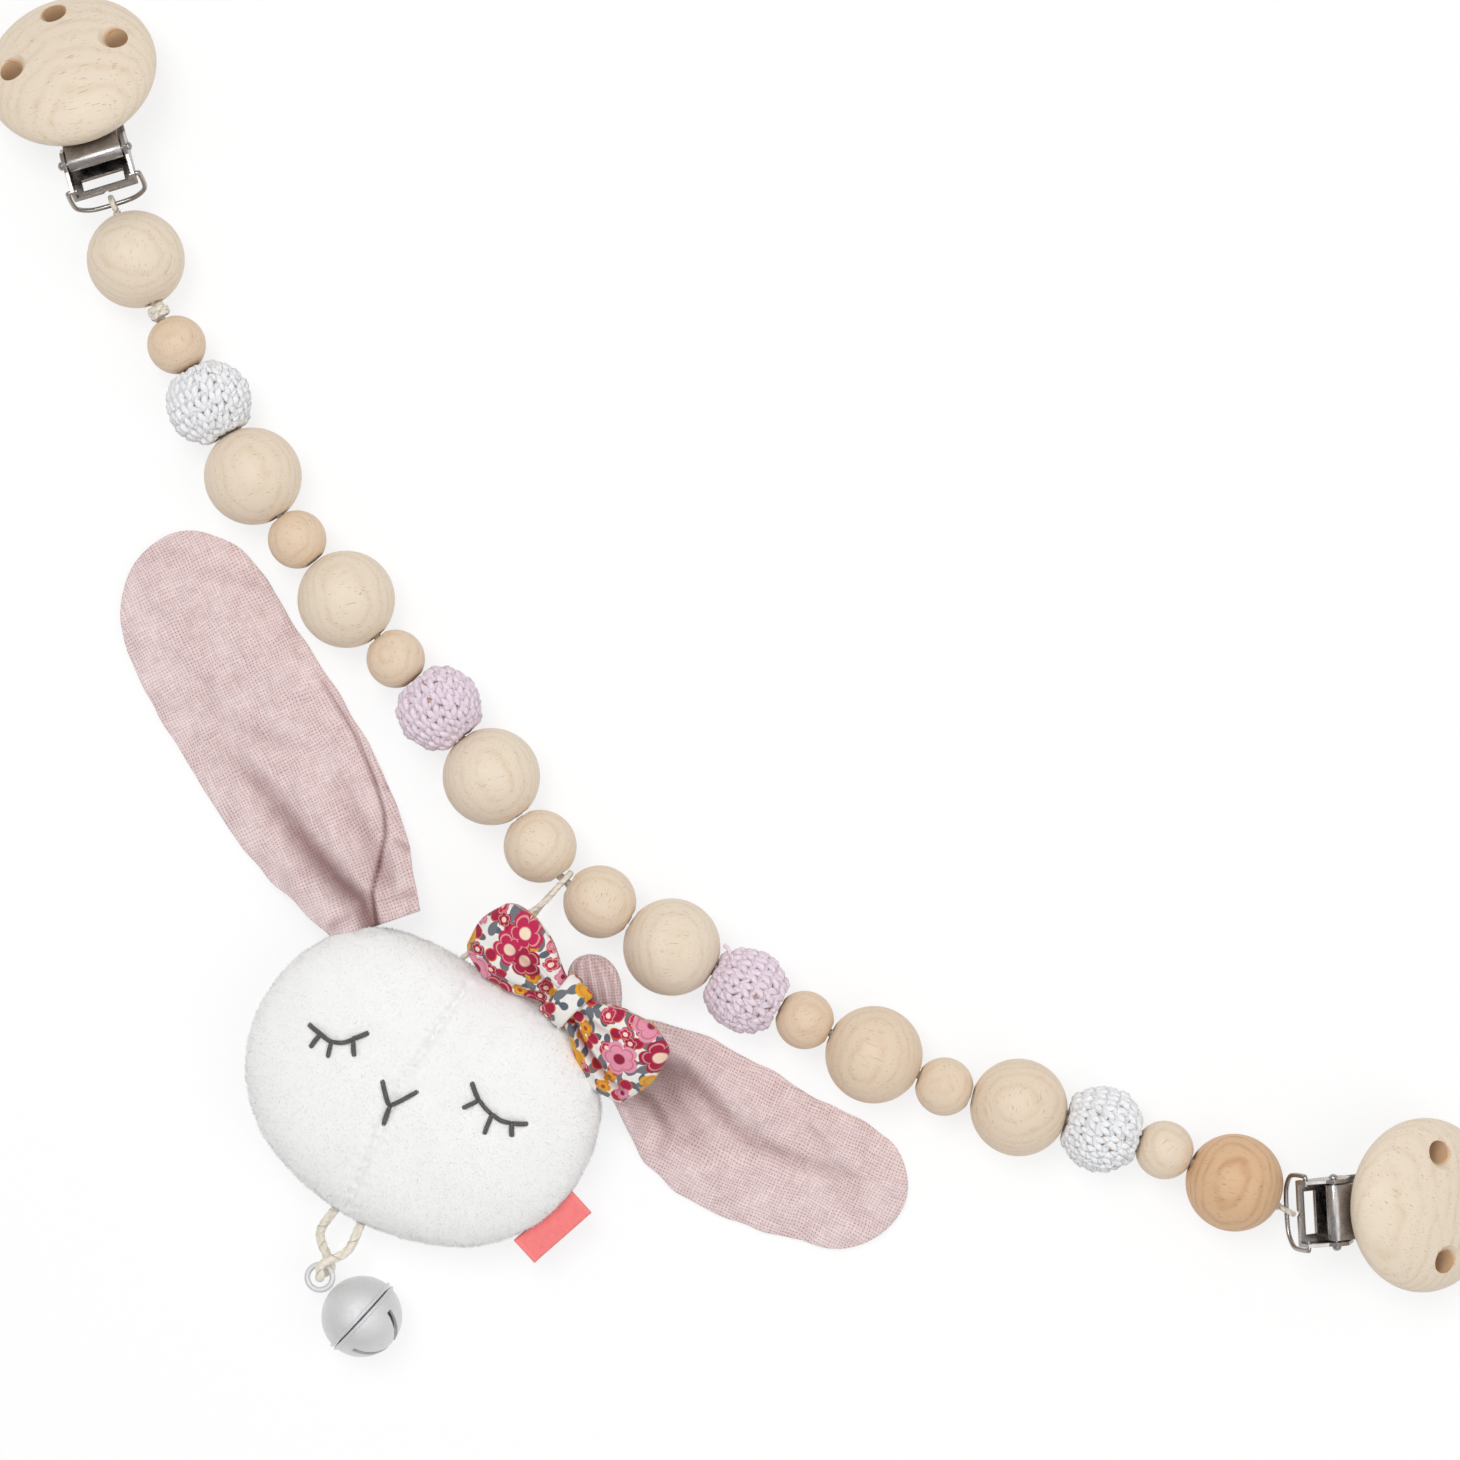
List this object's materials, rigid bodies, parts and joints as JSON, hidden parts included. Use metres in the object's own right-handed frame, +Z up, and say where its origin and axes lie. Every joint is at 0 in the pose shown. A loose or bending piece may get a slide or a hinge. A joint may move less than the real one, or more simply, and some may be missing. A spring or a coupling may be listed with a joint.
{
  "type": "pram chain toy",
  "caption": "Wooden and crocheted beads on a cord between two sprung clips, with a hanging plush bunny head and a bell",
  "frame": {"origin": "middle of the bounding box, at the table that the toy lies on", "axes": "+X to the right along the longer side of the laid-out toy, +Y away along the table, +Z up from the table"},
  "size_m": [0.3104, 0.28, 0.025],
  "materials": {
    "beech": "waxed beech with a fine straight grain",
    "clip_steel": "nickel-plated pressed steel and wire",
    "bell_steel": "lightly scuffed bright plating",
    "jaw_plastic": "clear white moulded plastic",
    "white_yarn": "crocheted cotton yarn",
    "lilac_yarn": "crocheted cotton yarn",
    "cotton_cord": "waxed cotton cord",
    "plush": "short soft plush over stuffing",
    "muslin": "double cotton muslin",
    "bow_print": "fine printed cotton",
    "coral_ribbon": "woven satin ribbon"
  },
  "bodies": {
    "chain_middle": {"cord_10_11": "cotton_cord"},
    "left_clip_lever": {"clip_left_cap": "beech", "clip_left_lever": "clip_steel"},
    "right_clip_lever": {"clip_right_cap": "beech", "clip_right_lever": "clip_steel"},
    "left_clip_tongue": {"clip_left_tongue": "clip_steel"},
    "right_clip_tongue": {"clip_right_tongue": "clip_steel"},
    "left_wire_loop": {"clip_left_wire_loop": "clip_steel"},
    "right_wire_loop": {"clip_right_wire_loop": "clip_steel"},
    "left_clip_frame": {"clip_left_frame": "clip_steel", "clip_left_jaw_pad": "jaw_plastic", "clip_left_pivot_pin": "clip_steel"},
    "right_clip_frame": {"clip_right_frame": "clip_steel", "clip_right_jaw_pad": "jaw_plastic", "clip_right_pivot_pin": "clip_steel"},
    "hanger": {"hanger_loop": "cotton_cord"},
    "head": {"bow_loops": "bow_print", "bow_wrap": "bow_print", "bunny_head": "plush", "side_tag": "coral_ribbon"},
    "left_ear": {"ear_left": "muslin"},
    "right_ear": {"ear_right": "muslin"},
    "bell_loop": {"bell_loop": "cotton_cord"},
    "bell": {"bell_lower_shell": "bell_steel", "bell_ring": "bell_steel", "bell_upper_shell": "bell_steel"},
    "clapper": {"bell_clapper": "bell_steel"},
    "cord_09_08": {"cord_09_08": "cotton_cord"},
    "cord_07_06": {"cord_07_06": "cotton_cord"},
    "cord_05_04": {"cord_05_04": "cotton_cord"},
    "cord_03_02": {"cord_03_02": "cotton_cord"},
    "cord_01_knotted": {"cord_01_knotted": "cotton_cord"},
    "cord_12_13": {"cord_12_13": "cotton_cord"},
    "cord_14_16": {"cord_14_16": "cotton_cord"},
    "cord_17_18": {"cord_17_18": "cotton_cord"},
    "cord_19_20": {"cord_19_20": "cotton_cord"},
    "bead_01": {"bead_01_large": "beech"},
    "bead_02": {"bead_02_small": "beech"},
    "bead_03": {"bead_03_white_core": "beech", "bead_03_white_cover": "white_yarn"},
    "bead_04": {"bead_04_large": "beech"},
    "bead_05": {"bead_05_small": "beech"},
    "bead_06": {"bead_06_large": "beech"},
    "bead_07": {"bead_07_small": "beech"},
    "bead_08": {"bead_08_lilac_core": "beech", "bead_08_lilac_cover": "lilac_yarn"},
    "bead_09": {"bead_09_large": "beech"},
    "bead_10": {"bead_10_medium": "beech"},
    "bead_11": {"bead_11_medium": "beech"},
    "bead_12": {"bead_12_large": "beech"},
    "bead_13": {"bead_13_lilac_core": "beech", "bead_13_lilac_cover": "lilac_yarn"},
    "bead_14": {"bead_14_small": "beech"},
    "bead_15": {"bead_15_large": "beech"},
    "bead_16": {"bead_16_small": "beech"},
    "bead_17": {"bead_17_large": "beech"},
    "bead_18": {"bead_18_white_core": "beech", "bead_18_white_cover": "white_yarn"},
    "bead_19": {"bead_19_small": "beech"},
    "bead_20": {"bead_20_large": "beech"}
  },
  "joints": [
    {"name": "left_clip_open", "type": "hinge", "parent": "left_clip_frame", "child": "left_clip_lever", "pos_m": [-0.13208, 0.10586, 0.01758], "axis": [0.9563, 0.2924, 0], "range_deg": [0, 75]},
    {"name": "right_clip_open", "type": "hinge", "parent": "right_clip_frame", "child": "right_clip_lever", "pos_m": [0.12054, -0.10926, 0.01772], "axis": [0.0523, -0.9986, 0], "range_deg": [0, 75]},
    {"name": "left_clip_tongue_lift", "type": "hinge", "parent": "left_clip_frame", "child": "left_clip_tongue", "pos_m": [-0.1323, 0.10656, 0.0128], "axis": [0.9563, 0.2924, 0], "range_deg": [0, 3]},
    {"name": "right_clip_tongue_lift", "type": "hinge", "parent": "right_clip_frame", "child": "right_clip_tongue", "pos_m": [0.12124, -0.10922, 0.01293], "axis": [0.0523, -0.9986, 0], "range_deg": [0, 3]},
    {"name": "left_wire_loop_swing", "type": "hinge", "parent": "cord_01_knotted", "child": "left_wire_loop", "pos_m": [-0.12937, 0.09699, 0.01], "axis": [0.9563, 0.2924, 0], "range_deg": [-60, 20]},
    {"name": "right_wire_loop_swing", "type": "hinge", "parent": "cord_19_20", "child": "right_wire_loop", "pos_m": [0.11167, -0.10973, 0.01], "axis": [0.0523, -0.9986, 0], "range_deg": [-60, 20]},
    {"name": "left_clip_frame_swing", "type": "hinge", "parent": "left_wire_loop", "child": "left_clip_frame", "pos_m": [-0.13041, 0.10038, 0.01761], "axis": [0.9563, 0.2924, 0], "range_deg": [-40, 60]},
    {"name": "right_clip_frame_swing", "type": "hinge", "parent": "right_wire_loop", "child": "right_clip_frame", "pos_m": [0.11481, -0.10956, 0.01779], "axis": [0.0523, -0.9986, 0], "range_deg": [-40, 60]},
    {"name": "bunny_swing", "type": "hinge", "parent": "chain_middle", "child": "hanger", "pos_m": [-0.03682, -0.0419, 0.01], "axis": [-0.7314, 0.682, 0], "range_deg": [0, 60]},
    {"name": "head_nod", "type": "hinge", "parent": "hanger", "child": "head", "pos_m": [-0.05293, -0.06069, 0.012], "axis": [-0.8788, 0.4772, 0], "range_deg": [0, 15]},
    {"name": "left_ear_flop", "type": "hinge", "parent": "head", "child": "left_ear", "pos_m": [-0.07533, -0.04911, 0.0113], "axis": [0.9455, 0.3256, 0], "range_deg": [-15, 85]},
    {"name": "right_ear_flop", "type": "hinge", "parent": "head", "child": "right_ear", "pos_m": [-0.02893, -0.07722, 0.0113], "axis": [0.1045, -0.9945, 0], "range_deg": [-20, 8]},
    {"name": "bell_loop_swing", "type": "hinge", "parent": "head", "child": "bell_loop", "pos_m": [-0.08032, -0.11113, 0.012], "axis": [-0.8788, 0.4772, 0], "range_deg": [-30, 60]},
    {"name": "bell_swing", "type": "hinge", "parent": "bell_loop", "child": "bell", "pos_m": [-0.0871, -0.12361, 0.00875], "axis": [0, 0, 1], "range_deg": [-60, 10]},
    {"name": "clapper_rattle", "type": "slide", "parent": "bell", "child": "clapper", "axis": [0, 0, 1], "range_m": [0, 0.009]},
    {"name": "cord_09_08_bend", "type": "hinge", "parent": "chain_middle", "child": "cord_09_08", "pos_m": [-0.046, -0.02879, 0.01], "axis": [0, 0, 1], "range_deg": [-10, 0]},
    {"name": "cord_07_06_bend", "type": "hinge", "parent": "cord_09_08", "child": "cord_07_06", "pos_m": [-0.06753, -0.00083, 0.01], "axis": [0.7547, 0.6561, 0], "range_deg": [-10, 10]},
    {"name": "cord_05_04_bend", "type": "hinge", "parent": "cord_07_06", "child": "cord_05_04", "pos_m": [-0.08787, 0.02363, 0.01], "axis": [0, 0, 1], "range_deg": [-11, 0]},
    {"name": "cord_03_02_bend", "type": "hinge", "parent": "cord_05_04", "child": "cord_03_02", "pos_m": [-0.10606, 0.04965, 0.01], "axis": [0.8746, 0.4848, 0], "range_deg": [-10, 10]},
    {"name": "cord_01_knotted_bend", "type": "hinge", "parent": "cord_03_02", "child": "cord_01_knotted", "pos_m": [-0.11937, 0.07324, 0.01], "axis": [0, 0, 1], "range_deg": [-9, 0]},
    {"name": "cord_12_13_bend", "type": "hinge", "parent": "chain_middle", "child": "cord_12_13", "pos_m": [-0.02309, -0.05015, 0.01], "axis": [-0.5446, -0.8387, 0], "range_deg": [-10, 10]},
    {"name": "cord_14_16_bend", "type": "hinge", "parent": "cord_12_13", "child": "cord_14_16", "pos_m": [0.00734, -0.06801, 0.01], "axis": [0, 0, 1], "range_deg": [0, 10]},
    {"name": "cord_17_18_bend", "type": "hinge", "parent": "cord_14_16", "child": "cord_17_18", "pos_m": [0.04686, -0.0863, 0.01], "axis": [-0.225, -0.9744, 0], "range_deg": [-8, 8]},
    {"name": "cord_19_20_bend", "type": "hinge", "parent": "cord_17_18", "child": "cord_19_20", "pos_m": [0.08101, -0.09528, 0.01], "axis": [0, 0, 1], "range_deg": [0, 13]},
    {"name": "bead_01_spin", "type": "hinge", "parent": "cord_01_knotted", "child": "bead_01", "pos_m": [-0.12481, 0.0857, 0.01], "axis": [-0.3746, 0.9272, 0], "continuous": true},
    {"name": "bead_02_spin", "type": "hinge", "parent": "cord_03_02", "child": "bead_02", "pos_m": [-0.11642, 0.06813, 0.01], "axis": [-0.5, 0.866, 0], "continuous": true},
    {"name": "bead_03_spin", "type": "hinge", "parent": "cord_03_02", "child": "bead_03", "pos_m": [-0.10977, 0.05634, 0.01], "axis": [-0.4848, 0.8746, 0], "continuous": true},
    {"name": "bead_04_spin", "type": "hinge", "parent": "cord_05_04", "child": "bead_04", "pos_m": [-0.10075, 0.04115, 0.01], "axis": [-0.5299, 0.848, 0], "continuous": true},
    {"name": "bead_05_spin", "type": "hinge", "parent": "cord_05_04", "child": "bead_05", "pos_m": [-0.09165, 0.02815, 0.01], "axis": [-0.6428, 0.766, 0], "continuous": true},
    {"name": "bead_06_spin", "type": "hinge", "parent": "cord_07_06", "child": "bead_06", "pos_m": [-0.08156, 0.01585, 0.01], "axis": [-0.6293, 0.7771, 0], "continuous": true},
    {"name": "bead_07_spin", "type": "hinge", "parent": "cord_07_06", "child": "bead_07", "pos_m": [-0.07139, 0.00362, 0.01], "axis": [-0.6561, 0.7547, 0], "continuous": true},
    {"name": "bead_08_spin", "type": "hinge", "parent": "cord_09_08", "child": "bead_08", "pos_m": [-0.06251, -0.0066, 0.01], "axis": [-0.6561, 0.7547, 0], "continuous": true},
    {"name": "bead_09_spin", "type": "hinge", "parent": "cord_09_08", "child": "bead_09", "pos_m": [-0.05175, -0.02058, 0.01], "axis": [-0.5736, 0.8192, 0], "continuous": true},
    {"name": "bead_10_spin", "type": "hinge", "parent": "chain_middle", "child": "bead_10", "pos_m": [-0.04172, -0.0349, 0.01], "axis": [-0.5736, 0.8192, 0], "continuous": true},
    {"name": "bead_11_spin", "type": "hinge", "parent": "chain_middle", "child": "bead_11", "pos_m": [-0.02948, -0.04631, 0.01], "axis": [0.8572, -0.515, 0], "continuous": true},
    {"name": "bead_12_spin", "type": "hinge", "parent": "cord_12_13", "child": "bead_12", "pos_m": [-0.01469, -0.05561, 0.01], "axis": [0.8387, -0.5446, 0], "continuous": true},
    {"name": "bead_13_spin", "type": "hinge", "parent": "cord_12_13", "child": "bead_13", "pos_m": [0.00053, -0.06454, 0.01], "axis": [0.891, -0.454, 0], "continuous": true},
    {"name": "bead_14_spin", "type": "hinge", "parent": "cord_14_16", "child": "bead_14", "pos_m": [0.01264, -0.07059, 0.01], "axis": [0.8988, -0.4384, 0], "continuous": true},
    {"name": "bead_15_spin", "type": "hinge", "parent": "cord_14_16", "child": "bead_15", "pos_m": [0.02686, -0.07772, 0.01], "axis": [0.891, -0.454, 0], "continuous": true},
    {"name": "bead_16_spin", "type": "hinge", "parent": "cord_14_16", "child": "bead_16", "pos_m": [0.04132, -0.08428, 0.01], "axis": [0.9397, -0.342, 0], "continuous": true},
    {"name": "bead_17_spin", "type": "hinge", "parent": "cord_17_18", "child": "bead_17", "pos_m": [0.05662, -0.08855, 0.01], "axis": [0.9744, -0.225, 0], "continuous": true},
    {"name": "bead_18_spin", "type": "hinge", "parent": "cord_17_18", "child": "bead_18", "pos_m": [0.0737, -0.09304, 0.01], "axis": [0.9563, -0.2924, 0], "continuous": true},
    {"name": "bead_19_spin", "type": "hinge", "parent": "cord_19_20", "child": "bead_19", "pos_m": [0.08655, -0.0973, 0.01], "axis": [0.9397, -0.342, 0], "continuous": true},
    {"name": "bead_20_spin", "type": "hinge", "parent": "cord_19_20", "child": "bead_20", "pos_m": [0.10093, -0.10401, 0.01], "axis": [0.8829, -0.4695, 0], "continuous": true}
  ],
  "couplings": [
    {"joint": "left_clip_tongue_lift", "follows": "left_clip_open", "ratio": 0.04},
    {"joint": "right_clip_tongue_lift", "follows": "right_clip_open", "ratio": 0.04}
  ]
}
